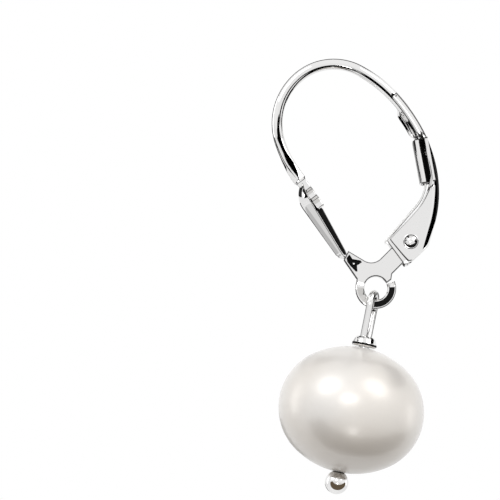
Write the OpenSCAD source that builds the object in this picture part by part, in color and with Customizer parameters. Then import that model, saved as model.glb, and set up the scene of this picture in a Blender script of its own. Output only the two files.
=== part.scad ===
// Leverback earring with a pearl drop, hanging from the top of its ear wire.
// The origin is the inner top of the ear wire, where it hangs in the ear.
// X runs from the front shell to the lever, Z is up and the flat side faces -Y.
// The flat parts are drawn in a plan, x across and y up, and then stood upright.

/* [Ear wire] */
// Diameter of the round ear wire
wire_d = 0.75; // [0.65:0.01:0.78]
// Length of the wire's pressed end, which closes the top of the shell's mouth
pressed_len = 2.5; // [2.2:0.05:2.7]
// Thickness of the pressed end
pressed_t = 0.6; // [0.5:0.02:0.7]
// Width of the pressed end, from rim to rim
pressed_w = 2.3; // [1.6:0.1:2.6]

/* [Front shell] */
// Radius of the shell's round upper end
shell_r = 1.73; // [1.6:0.01:1.8]
// Length of the shell from the centre of its round end to its lower end
shell_len = 4.6; // [4.4:0.05:4.8]
// Angle at which the shell narrows towards its lower end
shell_taper = 6; // [3:0.5:8]
// Thickness of the shell's wall
shell_wall = 0.28; // [0.2:0.01:0.35]
// How far the mouth is set off the shell's axis
mouth_set = 0.735; // [0.6:0.005:0.85]
// Turn of the mouth towards the flat side that faces -Y
mouth_turn = 13; // [0:1:20]

/* [Base plate and eye] */
// Thickness of the base plate and of its tongue in the lever
plate_t = 1.3; // [1.1:0.02:1.36]
// Width of the plate's bar
bar_w = 1.3; // [1.1:0.05:1.4]
// Radius of the hollow between the bar and the shell's foot
throat_r = 0.9; // [0.6:0.05:1]
// Radius of the eye's hole
eye_r = 0.8; // [0.76:0.01:0.84]
// Outer radius of the eye ring
ring_r = 1.4; // [1.36:0.01:1.42]
// Thickness of the eye ring
ring_t = 0.76; // [0.7:0.01:0.78]
// Width of the slit in the eye ring
slit_w = 0.3; // [0.2:0.02:0.36]

/* [Lever] */
// Width of the lever over both cheeks
lever_w = 2; // [1.96:0.01:2.1]
// Thickness of the lever's sheet
sheet_t = 0.22; // [0.2:0.01:0.24]
// Radius of the folded edges along the spine
fold_r = 0.5; // [0.4:0.02:0.6]
// Depth of the near lip, from the spine's outer face
near_lip = 0.76; // [0.6:0.02:0.9]
// How much further the far lip stands in
lip_step = 0.34; // [0.2:0.02:0.4]
// Width of the rolled tabs that hold the spring
tab_w = 1.5; // [1.4:0.05:1.6]
// Depth of the rolled tabs, from their inner face to the shoulder
tab_depth = 0.76; // [0.7:0.02:0.8]
// Thickness of the leaf spring
spring_t = 0.14; // [0.1:0.01:0.16]
// Width of the leaf spring
spring_w = 0.9; // [0.7:0.05:0.96]

/* [Hinge pin] */
// Diameter of the rivet's shank
pin_d = 0.7; // [0.6:0.02:0.76]
// Gap around the shank in the bores
pin_gap = 0.03; // [0.02:0.005:0.05]
// Diameter of the flat rim around each rivet head
rim_d = 1.06; // [0.9:0.02:1.2]
// Diameter of each domed rivet head
dome_d = 0.84; // [0.7:0.02:0.9]

/* [Drop] */
// Diameter of the link and head pin wire
link_d = 0.54; // [0.45:0.01:0.56]
// Inner radius of the link's arch
link_r = 0.5; // [0.48:0.01:0.54]
// Turn of the link's plane about the vertical, its near leg to the left
link_turn = 14; // [0:1:18]
// Length of the link from the eye ring's wire down to the collar
link_len = 1.75; // [1.6:0.05:2.3]
// Diameter of the collar
collar_d = 1.72; // [1.4:0.02:1.9]
// Height of the collar
collar_h = 0.8; // [0.6:0.02:0.9]
// Diameter of the pearl across the drill hole
pearl_d = 10; // [8:0.1:10.4]
// Height of the pearl along the drill hole
pearl_h = 8.7; // [7.4:0.1:9.8]
// Diameter of the drill hole
drill_d = 0.8; // [0.7:0.02:1]
// Diameter of the head pin's ball end
ball_d = 1.62; // [1.4:0.02:1.8]

/* [Hidden] */
$fn = 72;
tiny = 0.01;
far = 20;
gap = 0.05;
seat_gap = 0.02;

// A short piece that is a hair larger closes the joint of two bends
seam = 0.002;
seam_len = 0.06;

// Bends of the ear wire from its top: radius and turn in degrees
front_bends = [[3.72, 52], [4.22, 67], [8.85, 19]];
back_bends = [[3.72, 17], [9.22, 26.6]];

// Half width of the flat round beside the eye
round_cut = 0.98;

// Places in the plan
hinge = [6.85, -10.72];
eye = [5.13, -14.3];
shell_at = [0.34, -8.68];
shell_dir = -49;
bar_dir = 56.5;
foot_top = [2.78, -12.18];
foot_low = [2.6, -12.86];
foot_heel = [3.72, -13.95];
throat_dir = -19.6;
slit_at = [6.05, -13.75];
slit_dir = 48;

// Bends of the spine from the hinge end to the tip: radius and turn in degrees
spine_at = [8.025, -12.654];
spine_dir = 85.7;
spine_straight = 3.79;
spine_bends = [[8.45, 27.6], [10.07, 19.1], [12.48, 11.6]];

// The lever's cheek below the tabs: its inner edge and its corners
cheek_edge = [[7.31, -6.87], [7.24, -7.31], [7.1, -7.85], [6.92, -8.35], [6.41, -9.23], [5.27, -10.98]];
cheek_heel = [6.76, -12.33];
cheek_toe = [7.0, -12.22];
cheek_back = [8.12, -10.66];

// Rolled tabs: the lower end of their straight inner face and its direction
tab_at = [6.72, -6.71];
tab_dir = 111.8;
tab_long = 3.1;
tab_r = 0.4;
seam_w = 0.12;
cheek_deep = 3.6;

// Lips: their rounded tip, and where the far lip starts
tip_r = 0.3;
far_lip_top = [4.3, -1.7];
lip_dir = 30;

// Leaf spring from its curled end up into the tabs
spring_at = [5.2, -10.95];
spring_dir = 60.5;
spring_straight = 3.12;
spring_bend_r = 2.65;
spring_tail = 1.9;
spring_curl = 0.24;
spring_curl_turn = 45;

// Rivet head
head_gap = 0.02;
rim_t = 0.07;
dome_h = 0.26;
dome_r = (pow(dome_d / 2, 2) + pow(dome_h, 2)) / (2 * dome_h);

// Link legs and the collar's cup
link_mid = link_r + link_d / 2;
leg_sunk = 0.3;
lean = 12.6;
leg_tilt = 3.1;
cup_r = 0.6;
cup_deep = 0.42;
collar_edge = 0.3;

// Pearl: a round equator, and poles on a larger radius that runs smoothly into it
pearl_side_r = 0.82 * pearl_h / 2 + 0.1 * pearl_d / 2;
side_at = pearl_d / 2 - pearl_side_r;
side_over = pearl_h / 2 - pearl_side_r;
pole_at = (side_at * side_at - side_over * side_over) / (2 * side_over);
pole_r = pearl_h / 2 + pole_at;

ring_mid = (ring_r + eye_r) / 2;
ring_w = ring_r - eye_r;
swing_z = eye[1] - ring_mid;
collar_top = swing_z - link_r - link_len;
pearl_top = collar_top - collar_h;
pearl_z = pearl_top - pearl_h / 2;
drill_r = drill_d / 2;
ball_seat = sqrt(pow(ball_d / 2, 2) - pow(drill_r, 2));
pearl_flat = pole_r - sqrt(pow(pole_r, 2) - pow(drill_r, 2));
ball_z = pearl_z - pearl_h / 2 + pearl_flat - ball_seat - seat_gap;
slot_w = lever_w - 2 * sheet_t;

// Direction in the plan
function dir(a) = [cos(a), sin(a)];
// Left normal of a direction in the plan
function left(a) = [-sin(a), cos(a)];
// Point where two lines of the plan meet, each with a point and a direction
function meet(p, a, q, b) = p + dir(a) * cross(q - p, dir(b)) / cross(dir(a), dir(b));

// Stands the plan upright, so that its z faces -Y
module upright() { rotate([90, 0, 0]) children(); }

// Moves to a place of the plan and turns to a direction
module along(p, a) { translate([p[0], p[1], 0]) rotate(a) children(); }

// A chain of bends, each a radius and a turn, from the origin along +x.
// Side is 1 for bends to the left and -1 for bends to the right.
module bends(rows, side, i = 0) {
  if (i < len(rows)) {
    r = rows[i][0];
    a = rows[i][1];
    translate([0, side * r, 0])
      rotate(side > 0 ? -90 : 90 - a)
        rotate_extrude(angle = a) translate([r, 0]) children();
    translate([0, side * r, 0])
      rotate(side * a)
        translate([0, -side * r, 0])
          bends(rows, side, i + 1) children();
  }
}

// Goes to the end of a chain of bends
module after_bends(rows, side, i = 0) {
  if (i < len(rows)) {
    translate([0, side * rows[i][0], 0])
      rotate(side * rows[i][1])
        translate([0, -side * rows[i][0], 0])
          after_bends(rows, side, i + 1) children();
  } else {
    children();
  }
}

// Puts its children at the start of every bend in a chain
module at_bends(rows, side, i = 0) {
  if (i < len(rows)) {
    children();
    translate([0, side * rows[i][0], 0])
      rotate(side * rows[i][1])
        translate([0, -side * rows[i][0], 0])
          at_bends(rows, side, i + 1) children();
  }
}

// A flat section stood across the heading, its x to the right of it
module across(long) { rotate([90, 0, -90]) linear_extrude(long, center = true) children(); }

// Round wire over the ear, from its free tip in the lever to the pressed end
module ear_wire() {
  along([0, wire_d / 2], 180) {
    bends(front_bends, 1) circle(d = wire_d);
    at_bends(front_bends, 1) across(seam_len) circle(d = wire_d + 2 * seam);
  }
  along([0, wire_d / 2], 0) {
    bends(back_bends, -1) circle(d = wire_d);
    at_bends(back_bends, -1) across(seam_len) circle(d = wire_d + 2 * seam);
  }
}

// Pressed end of the wire: thick at the step, thinner at both ends, as wide as the mouth
module pressed_end() {
  along([0, wire_d / 2], 180)
    after_bends(front_bends, 1)
      intersection() {
        linear_extrude(pressed_w, center = true)
          polygon([
            [-0.1, -wire_d / 2 + 0.02], [0.75, -pressed_t / 2 + 0.04], [0.85, -pressed_t / 2 - 0.06],
            [1.75, -pressed_t / 2 - 0.04], [pressed_len, -0.08],
            [pressed_len, pressed_t / 2 - 0.02], [1.6, pressed_t / 2 + 0.03], [-0.1, wire_d / 2 - 0.02],
          ]);
        rotate([90, 0, 0])
          linear_extrude(far, center = true)
            polygon([
              [-0.1, -wire_d / 2], [0.35, -wire_d / 2 - 0.02], [1.1, -pressed_w / 2], [far, -pressed_w / 2],
              [far, pressed_w / 2], [1.1, pressed_w / 2], [0.35, wire_d / 2 + 0.02], [-0.1, wire_d / 2],
            ]);
      }
}

// Half outline of the shell's drop shape, its axis along y and its round end at the origin
module drop_half(r, long, corner) {
  end_r = r / cos(shell_taper) - long * tan(shell_taper);
  intersection() {
    union() {
      circle(r);
      polygon([
        [0, 0], r * dir(shell_taper), [end_r + corner * tan(shell_taper), long - corner],
        [0, long - corner],
      ]);
      translate([end_r - corner, long - corner]) circle(corner, $fn = 36);
      square([end_r - corner, long]);
    }
    translate([0, -far / 2]) square([far, far * 2]);
  }
}

// Solid of the shell's drop shape, lying along its axis in the plan
module drop_body(r, long, corner) {
  along(shell_at, shell_dir) rotate([0, 90, 0]) rotate_extrude() drop_half(r, long, corner);
}

// Space in front of the shell's mouth
module mouth_space() {
  along(shell_at, shell_dir)
    rotate([mouth_turn, 0, 0])
      translate([-far / 2, -mouth_set, -far / 2])
        cube(far);
}

// Hollow front shell, open towards the lever
module front_shell() {
  difference() {
    drop_body(shell_r, shell_len, 0.5);
    drop_body(shell_r - shell_wall, shell_len - shell_wall, 0.3);
    mouth_space();
  }
}

// Flat outline of the base plate with the foot, the bar and the round around the eye
module plate_outline() {
  bar_top = hinge + left(bar_dir) * bar_w / 2;
  bar_low = hinge - left(bar_dir) * bar_w / 2;
  corner = meet(foot_top, throat_dir, bar_top, bar_dir);
  shoulder = meet(bar_low, bar_dir, eye + [round_cut, 0], 94);
  throat_half = (180 + throat_dir - bar_dir) / 2;
  touch = throat_r / tan(throat_half);
  throat_mid = corner + dir(bar_dir + throat_half) * throat_r / sin(throat_half);
  difference() {
    union() {
      polygon([
        foot_top, corner - dir(throat_dir) * touch, throat_mid, corner + dir(bar_dir) * touch,
        bar_top, bar_low, shoulder, eye + [round_cut, 0.2], eye, foot_heel, foot_low,
      ]);
      translate(hinge) circle(bar_w / 2 + seam);
      intersection() {
        translate(eye) circle(ring_r - tiny);
        translate(eye + [-far, 0.1]) square([far + round_cut, far]);
      }
    }
    translate(throat_mid) circle(throat_r + seam);
    translate(eye) circle(eye_r + tiny);
  }
}

// Round section of the eye ring
module ring_section() {
  translate([ring_mid, 0]) {
    for (side = [-1, 1]) translate([0, side * (ring_t - ring_w) / 2]) circle(d = ring_w, $fn = 48);
    square([ring_w, ring_t - ring_w], center = true);
  }
}

// Slit that opens the eye ring beside the plate
module ring_slit() {
  along(slit_at, slit_dir) cube([2, slit_w, 2 * plate_t], center = true);
}

// Small hollow in each side of the foot, where the shell runs into the plate
module foot_dimples() {
  for (side = [-1, 1]) translate([3.35, -12.88, side * (plate_t / 2 + 0.32)]) sphere(r = 0.52, $fn = 48);
}

// Ear wire, front shell, base plate and eye ring, soldered into one piece
module ear_hook() {
  color("silver") upright() difference() {
    union() {
      ear_wire();
      pressed_end();
      front_shell();
      linear_extrude(plate_t, center = true) plate_outline();
      translate([eye[0], eye[1], 0]) rotate(140) rotate_extrude(angle = 250) ring_section();
    }
    ring_slit();
    foot_dimples();
    along(hinge, 0) cylinder(d = pin_d + 2 * pin_gap, h = 2 * plate_t, center = true, $fn = 48);
  }
}

// Rectangle from x = -long to 0, round at its two corners at x = 0
module rounded_end(long, wide, r) {
  translate([-long, -wide / 2]) square([long - r, wide]);
  translate([-long, -wide / 2 + r]) square([long, wide - 2 * r]);
  for (side = [-1, 1]) translate([-r, side * (wide / 2 - r)]) circle(r, $fn = 40);
}

// Section across the lever's channel: the spine's outer face is at x = 0, the near cheek is at +y
module channel_section(near, away, more = 0) {
  difference() {
    translate([more, 0]) rounded_end(max(near, away) + 2 * more, lever_w + 2 * more, fold_r + more);
    translate([-sheet_t - more, 0]) rounded_end(far, slot_w - 2 * more, fold_r - sheet_t - more);
    translate([-far - near - more, 0]) square([far, far]);
    translate([-far - away - more, -far]) square([far, far]);
  }
}

// Section across the rolled tabs: their inner face is at x = 0, the shoulders to the cheeks at
// tab_depth, and a seam runs along the middle of the inner face
module tab_section() {
  difference() {
    union() {
      mirror([1, 0]) rounded_end(tab_depth + sheet_t, tab_w, tab_r);
      translate([tab_depth, -lever_w / 2]) square([sheet_t, lever_w]);
    }
    translate([sheet_t, 0]) mirror([1, 0]) rounded_end(tab_depth + sheet_t, tab_w - 2 * sheet_t, tab_r - sheet_t);
    translate([-sheet_t, -seam_w / 2]) square([2 * sheet_t + tiny, seam_w]);
  }
}

// Runs a section along the lever's spine, from the hinge end to the tip. The second
// child is the same section a hair larger, for a short piece over every joint.
module along_spine() {
  along(spine_at, spine_dir) translate([spine_straight, 0, 0]) {
    translate([-spine_straight / 2, 0, 0]) across(spine_straight) children(0);
    bends(spine_bends, 1) children(0);
    at_bends(spine_bends, 1) across(seam_len) children(1);
  }
}

// Part of the plan above a line through a point
module above(p, a) { along(p, a) translate([-far, 0, -far]) cube([2 * far, far, 2 * far]); }

// Channel of the lips, with its rounded tip and the far lip that starts lower down
module lips() {
  difference() {
    intersection() {
      along_spine() {
        channel_section(near_lip, near_lip + lip_step);
        channel_section(near_lip, near_lip + lip_step, seam);
      }
      along(tab_at, tab_dir) translate([tab_long - sheet_t, -far / 2, -far / 2]) cube(far);
    }
    along(spine_at, spine_dir)
      translate([spine_straight, 0, 0])
        after_bends(spine_bends, 1)
          translate([-tip_r, near_lip - tip_r, -far / 2])
            difference() {
              cube(far);
              translate([0, 0, -1]) cylinder(r = tip_r, h = far + 2);
            }
    intersection() {
      above(far_lip_top, lip_dir);
      along(spine_at, spine_dir)
        translate([spine_straight, 0, 0])
          after_bends([spine_bends[0], spine_bends[1]], 1)
            translate([0, spine_bends[2][0], -far - slot_w / 2 + fold_r / 2])
              cylinder(r = spine_bends[2][0] - fold_r, h = far);
    }
  }
}

// Channel behind the tabs, as deep as their shoulders, and the straight tube of the tabs
module tabs() {
  intersection() {
    along_spine() {
      channel_section(cheek_deep, cheek_deep);
      channel_section(cheek_deep, cheek_deep, seam);
    }
    along(tab_at, tab_dir) translate([0, -far - tab_depth - sheet_t / 2, -far / 2]) cube([tab_long, far, far]);
  }
  along(tab_at, tab_dir) translate([tab_long / 2, 0, 0]) across(tab_long) tab_section();
}

// Cheeks that widen from the tabs to the hinge
module cheeks() {
  intersection() {
    along_spine() {
      channel_section(cheek_deep, cheek_deep);
      channel_section(cheek_deep, cheek_deep, seam);
    }
    along(tab_at, tab_dir) translate([sheet_t - far, -far / 2, -far / 2]) cube(far);
    linear_extrude(2 * lever_w, center = true)
      polygon(concat(cheek_edge, [cheek_heel, cheek_toe, cheek_back, [9, -10.6], [9, -5], tab_at + [0.7, 0.4]]));
  }
}

// Folded sheet lever with its lips, tabs, cheeks and the rivet's bore
module lever() {
  color("gainsboro") upright() difference() {
    union() {
      lips();
      tabs();
      cheeks();
    }
    along(hinge, 0) cylinder(d = pin_d + 2 * pin_gap, h = 2 * lever_w, center = true, $fn = 48);
  }
}

// Section across the leaf spring
module spring_section() { square([spring_t, spring_w], center = true); }

// Thin strip from the tabs to the corner by the tongue, where its end is curled
module leaf_spring() {
  spring_bends = [[spring_bend_r, tab_dir - spring_dir]];
  color("lightslategray") upright() along(spring_at, spring_dir) {
    translate([spring_straight / 2, 0, 0]) across(spring_straight) spring_section();
    translate([spring_straight, 0, 0]) {
      bends(spring_bends, 1) spring_section();
      after_bends(spring_bends, 1) translate([spring_tail / 2, 0, 0]) across(spring_tail) spring_section();
    }
    mirror([1, 0, 0]) bends([[spring_curl, spring_curl_turn]], -1) spring_section();
  }
}

// Domed rivet head on its flat rim
module rivet_head() {
  translate([0, 0, lever_w / 2 + head_gap]) {
    cylinder(d = rim_d, h = rim_t, $fn = 48);
    intersection() {
      translate([0, 0, rim_t + dome_h - dome_r]) sphere(dome_r);
      cylinder(d = dome_d, h = rim_t + dome_h, $fn = 48);
    }
  }
}

// Rivet through the cheeks and the tongue, with a head at each side
module hinge_pin() {
  color("silver") upright() along(hinge, 0) {
    cylinder(d = pin_d, h = lever_w + 2 * head_gap + rim_t, center = true, $fn = 48);
    for (side = [0, 180]) rotate([side, 0, 0]) rivet_head();
  }
}

// One side of the link: half of the arch and a leg that leans in to the collar, beside the other leg
module link_side() {
  leg = (link_len + link_r + leg_sunk - link_mid * sin(lean)) / cos(lean);
  rotate([90, 0, 90]) rotate(-lean) {
    rotate_extrude(angle = 90 + lean) translate([link_mid, 0]) circle(d = link_d, $fn = 40);
    translate([link_mid, 0, 0]) {
      sphere(d = link_d + 2 * seam, $fn = 40);
      rotate([90 - leg_tilt, 0, 0]) cylinder(d = link_d, h = leg, $fn = 40);
    }
  }
}

// Link through the eye, the pin through the pearl and its ball end, made of one wire
module head_pin() {
  color("silver") translate([eye[0], 0, 0]) {
    translate([0, 0, swing_z]) rotate(-link_turn) {
      link_side();
      rotate(180) link_side();
    }
    translate([0, 0, ball_z]) cylinder(d = link_d, h = collar_top - leg_sunk / 2 - ball_z, $fn = 40);
    translate([0, 0, ball_z]) sphere(d = ball_d, $fn = 64);
  }
}

// Round collar on top of the pearl, with a cup for the legs of the link
module collar_bead() {
  color("silver") translate([eye[0], 0, pearl_top + gap]) difference() {
    rotate_extrude() {
      translate([collar_d / 2 - collar_edge, collar_edge]) circle(collar_edge, $fn = 40);
      translate([collar_d / 2 - collar_edge, collar_h - gap - collar_edge]) circle(collar_edge, $fn = 40);
      square([collar_d / 2 - collar_edge, collar_h - gap]);
      translate([0, collar_edge]) square([collar_d / 2, collar_h - gap - 2 * collar_edge]);
    }
    translate([0, 0, -1]) cylinder(d = link_d + 2 * gap, h = 3, $fn = 40);
    translate([0, 0, collar_h - gap - cup_deep]) cylinder(r = cup_r, h = 1);
  }
}

// Half of the pearl's outline, from the drill hole outwards
module pearl_half() {
  meets_at = side_at + pearl_side_r * side_at / norm([side_at, pole_at]);
  difference() {
    union() {
      translate([side_at, 0]) circle(pearl_side_r, $fn = 96);
      intersection() {
        translate([0, -pole_at]) circle(pole_r - seam, $fn = 120);
        translate([0, pole_at]) circle(pole_r - seam, $fn = 120);
        translate([0, -far / 2]) square([meets_at, far]);
      }
    }
    translate([drill_r - far, -far / 2]) square([far, far]);
  }
}

// Pearl, drilled along its axis
module pearl() {
  color("seashell") translate([eye[0], 0, pearl_z]) rotate_extrude() pearl_half();
}

ear_hook();
lever();
leaf_spring();
hinge_pin();
head_pin();
collar_bead();
pearl();
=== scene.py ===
import math
import bmesh
import bpy
from mathutils import Matrix, Vector


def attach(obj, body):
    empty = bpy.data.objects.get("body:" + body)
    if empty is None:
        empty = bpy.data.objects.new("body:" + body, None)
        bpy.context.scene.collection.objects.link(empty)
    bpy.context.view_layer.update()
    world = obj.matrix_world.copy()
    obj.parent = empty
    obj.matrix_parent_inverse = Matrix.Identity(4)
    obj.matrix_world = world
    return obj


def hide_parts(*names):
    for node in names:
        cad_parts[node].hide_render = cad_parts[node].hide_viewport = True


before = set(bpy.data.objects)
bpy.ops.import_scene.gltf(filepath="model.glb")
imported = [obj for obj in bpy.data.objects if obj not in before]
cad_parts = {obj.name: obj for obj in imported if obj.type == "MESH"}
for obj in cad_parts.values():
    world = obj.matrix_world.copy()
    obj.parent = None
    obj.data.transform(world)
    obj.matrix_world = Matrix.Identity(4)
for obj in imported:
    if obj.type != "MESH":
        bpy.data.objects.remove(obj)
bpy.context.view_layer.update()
print("frame loaded")


# plan helpers: x across, y up, z towards the viewer, all in millimetres

def heading(turn):
    return Vector((math.cos(math.radians(turn)), math.sin(math.radians(turn))))


def leftOf(turn):
    return Vector((-math.sin(math.radians(turn)), math.cos(math.radians(turn))))


def stand(x, y, z=0.0):  # stands a plan point up in the row frame, in metres
    return Vector((x, -z, y)) * 0.001


def mix(a, b, t):
    return a + (b - a) * t


def ease(t):
    t = min(1.0, max(0.0, t))
    return t * t * (3 - 2 * t)


def between(rows, s):  # straight steps through rows of (s, values...)
    for low, high in zip(rows, rows[1:]):
        if s <= high[0]:
            t = max(0.0, (s - low[0]) / (high[0] - low[0]))
            return [mix(a, b, t) for a, b in zip(low[1:], high[1:])]
    return list(rows[-1][1:])


def bendPath(start, turn, bends, side, step=0.1):  # points and headings along a chain of bends
    rows = [(Vector(start), turn)]
    for radius, angle in bends:
        p, turn = rows[-1]
        centre = p + leftOf(turn) * side * radius
        count = max(2, math.ceil(math.radians(angle) * radius / step))
        for i in range(1, count + 1):
            t = turn + side * angle * i / count
            rows.append((centre - leftOf(t) * side * radius, t))
    return rows


def rounded(points, radii, closed=True, step=9, steps=None):  # fillets the corners of a polygon
    out, n = [], len(points)
    for i, (p, r) in enumerate(zip(points, radii)):
        p = Vector(p)
        if not r or (not closed and i in (0, n - 1)):
            out.append(p)
            continue
        a = (Vector(points[i - 1]) - p).normalized()
        b = (Vector(points[(i + 1) % n]) - p).normalized()
        half = a.angle(b) / 2
        centre = p + (a + b).normalized() * r / math.sin(half)
        first, last = p + a * r / math.tan(half) - centre, p + b * r / math.tan(half) - centre
        start = math.atan2(first.y, first.x)
        swing = (math.atan2(last.y, last.x) - start + math.pi) % (2 * math.pi) - math.pi
        count = steps or max(2, math.ceil(abs(math.degrees(swing)) / step))
        for j in range(count + 1):
            t = start + swing * j / count
            out.append(centre + Vector((math.cos(t), math.sin(t))) * r)
    return out


def lengthsOf(points):
    out = [0.0]
    for a, b in zip(points, points[1:]):
        out.append(out[-1] + (b - a).length)
    return out


def pointAt(points, lengths, s):
    for i in range(len(points) - 1):
        if s <= lengths[i + 1] or i == len(points) - 2:
            t = (s - lengths[i]) / (lengths[i + 1] - lengths[i])
            return points[i].lerp(points[i + 1], min(1.0, max(0.0, t)))


def inset(points, d):  # moves a closed outline inwards
    n, out = len(points), []
    area = sum(points[i - 1].x * points[i].y - points[i].x * points[i - 1].y for i in range(n))
    for i, p in enumerate(points):
        a, b = (p - points[i - 1]).normalized(), (points[(i + 1) % n] - p).normalized()
        mid = Vector((-(a + b).y, (a + b).x)).normalized() * math.copysign(d, area)
        out.append(p + mid / max(0.4, math.sqrt(max(0.0, (1 + a.dot(b)) / 2))))
    return out


# mesh helpers

def meshPiece(name, points, faces, finish, sharp=40, marks=()):  # marks: (face numbers, another finish)
    data = bpy.data.meshes.new(name)
    data.from_pydata([tuple(p) for p in points], [], faces)
    data.materials.append(finish)
    for i, (chosen, other) in enumerate(marks):
        data.materials.append(other)
        for f in chosen:
            data.polygons[f].material_index = i + 1
    obj = bpy.data.objects.new(name, data)
    bpy.context.scene.collection.objects.link(obj)
    settle(obj, sharp)
    return obj


def settle(obj, sharp):  # outward normals, smooth sides, crisp corners
    work = bmesh.new()
    work.from_mesh(obj.data)
    bmesh.ops.remove_doubles(work, verts=work.verts, dist=1e-8)
    bmesh.ops.recalc_face_normals(work, faces=work.faces)
    work.to_mesh(obj.data)
    work.free()
    obj.data.shade_smooth()
    obj.data.set_sharp_from_angle(angle=math.radians(sharp))


def sweep(name, rings, finish, sharp=40, caps=True, ringClosed=True, marks=()):  # marks: (test, another finish)
    n, points, faces = len(rings[0]), [p for r in rings for p in r], []
    chosen = [([], other) for test, other in marks]
    for i in range(len(rings) - 1):
        a, b = i * n, (i + 1) * n
        for k in range(n if ringClosed else n - 1):
            hit = [j for j, (test, other) in enumerate(marks) if test(i, k)]
            if hit:
                chosen[hit[0]][0].append(len(faces))
            faces.append((a + k, a + (k + 1) % n, b + (k + 1) % n, b + k))
    if caps:
        faces += [tuple(range(n)), tuple(range(len(points) - n, len(points)))]
    return meshPiece(name, points, faces, finish, sharp, chosen)


def lathe(name, profile, place, finish, turns=96, sharp=40, dark=None, shade=None):  # profile: (radius, height)
    points, rings, faces, chosen = [], [], [], []
    for r, h in profile:
        count = 1 if r < 1e-6 else turns
        rings.append(list(range(len(points), len(points) + count)))
        for k in range(count):
            t = 2 * math.pi * k / turns
            points.append(place(r * math.cos(t), r * math.sin(t), h))
    for i, (a, b) in enumerate(zip(rings, rings[1:])):
        for k in range(turns):
            face = (a[k % len(a)], a[(k + 1) % len(a)], b[(k + 1) % len(b)], b[k % len(b)])
            face = tuple(dict.fromkeys(face))  # a point on the axis counts once
            if len(face) > 2:
                if dark and dark(i, k):
                    chosen.append(len(faces))
                faces.append(face)
    return meshPiece(name, points, faces, finish, sharp, [(chosen, shade or paintedEdgeShade)] if dark else ())


def slab(name, outline, half, finish):  # flat plate, its corners broken by a narrow band painted dark as shade
    rows = [(0.07, half), (0.055, half - 0.012), (0.008, half - 0.11), (0, half - 0.14)]  # distance in, level
    rows += [(d, -z) for d, z in reversed(rows)]
    rings = [[stand(*q, z) for q in inset(outline, d)] for d, z in rows]
    middle = len(rows) // 2 - 1
    return sweep(name, rings, finish, 22, marks=[(lambda i, k: i != middle, paintedEdgeShade)])


def applyModifiers(obj):
    data = bpy.data.meshes.new_from_object(obj.evaluated_get(bpy.context.evaluated_depsgraph_get()))
    obj.modifiers.clear()
    obj.data = data


def fit(obj, body, node):  # rides its body and stands for the plain CAD solid
    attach(obj, body)
    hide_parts(node)


# finishes

silverLook = {"tone": (0.835, 0.83, 0.825), "rough": (0.02, 0.05), "grain": 900.0}
springLook = {"tone": (0.85, 0.845, 0.835), "rough": (0.05, 0.09), "grain": 1400.0}
# mid grey painted as shade on facets and bands that turn away from the light
greyShadeLook = {"tone": (0.62, 0.61, 0.595), "rough": (0.1, 0.16), "grain": 1200.0}
# near-black lines painted along edges and seams as shade and dark reflections
edgeShadeLook = {"tone": (0.05, 0.049, 0.048), "rough": (0.2, 0.32), "grain": 1500.0, "metal": 0.35}
# near-black painted as shade in hollows and as dark reflections on some marks
deepShadeLook = {"tone": (0.006, 0.0059, 0.0058), "rough": (0.45, 0.6), "grain": 1600.0, "metal": 0.0, "gloss": 0.05}
pearlLook = {
    "tones": [(0.40, (0.655, 0.622, 0.582)), (0.5, (0.675, 0.65, 0.62)), (0.62, (0.685, 0.67, 0.655))],
    "scale": 90.0, "rough": 0.36, "metal": 0.3, "coat": 0.55, "coatRough": 0.19, "sheen": 0.4,
}


def polishedMetal(name, look):
    material = bpy.data.materials.new(name)
    material.use_nodes = True
    nodes, links = material.node_tree.nodes, material.node_tree.links
    shader = nodes["Principled BSDF"]
    shader.inputs["Base Color"].default_value = (*look["tone"], 1)
    shader.inputs["Metallic"].default_value = look.get("metal", 1)
    shader.inputs["Specular IOR Level"].default_value = look.get("gloss", 0.25)
    place = nodes.new("ShaderNodeTexCoord")
    wear = nodes.new("ShaderNodeTexNoise")
    wear.inputs["Scale"].default_value = look["grain"]
    wear.inputs["Detail"].default_value = 4
    spread = nodes.new("ShaderNodeMapRange")
    spread.inputs["From Min"].default_value = 0.35
    spread.inputs["From Max"].default_value = 0.65
    spread.inputs["To Min"].default_value = look["rough"][0]
    spread.inputs["To Max"].default_value = look["rough"][1]
    links.new(place.outputs["Object"], wear.inputs["Vector"])
    links.new(wear.outputs["Fac"], spread.inputs["Value"])
    links.new(spread.outputs["Result"], shader.inputs["Roughness"])
    return material


def nacre(name, look):
    material = bpy.data.materials.new(name)
    material.use_nodes = True
    nodes, links = material.node_tree.nodes, material.node_tree.links
    shader = nodes["Principled BSDF"]
    shader.inputs["Metallic"].default_value = look["metal"]
    shader.inputs["Roughness"].default_value = look["rough"]
    shader.inputs["Coat Weight"].default_value = look["coat"]
    shader.inputs["Coat Roughness"].default_value = look["coatRough"]
    shader.inputs["Coat IOR"].default_value = 1.4
    shader.inputs["Specular IOR Level"].default_value = 0.25
    shader.inputs["Sheen Weight"].default_value = look["sheen"]
    shader.inputs["Sheen Roughness"].default_value = 0.4
    place = nodes.new("ShaderNodeTexCoord")
    drift = nodes.new("ShaderNodeTexNoise")
    drift.inputs["Scale"].default_value = look["scale"]
    drift.inputs["Detail"].default_value = 2
    ramp = nodes.new("ShaderNodeValToRGB")
    stops = ramp.color_ramp.elements
    for i, (at, tone) in enumerate(look["tones"]):
        stop = stops[i] if i < 2 else stops.new(at)
        stop.position, stop.color = at, (*tone, 1)
    links.new(place.outputs["Object"], drift.inputs["Vector"])
    links.new(drift.outputs["Fac"], ramp.inputs["Fac"])
    links.new(ramp.outputs["Color"], shader.inputs["Base Color"])
    return material


silver = polishedMetal("polishedSilver", silverLook)
springSilver = polishedMetal("springSilver", springLook)
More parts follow.
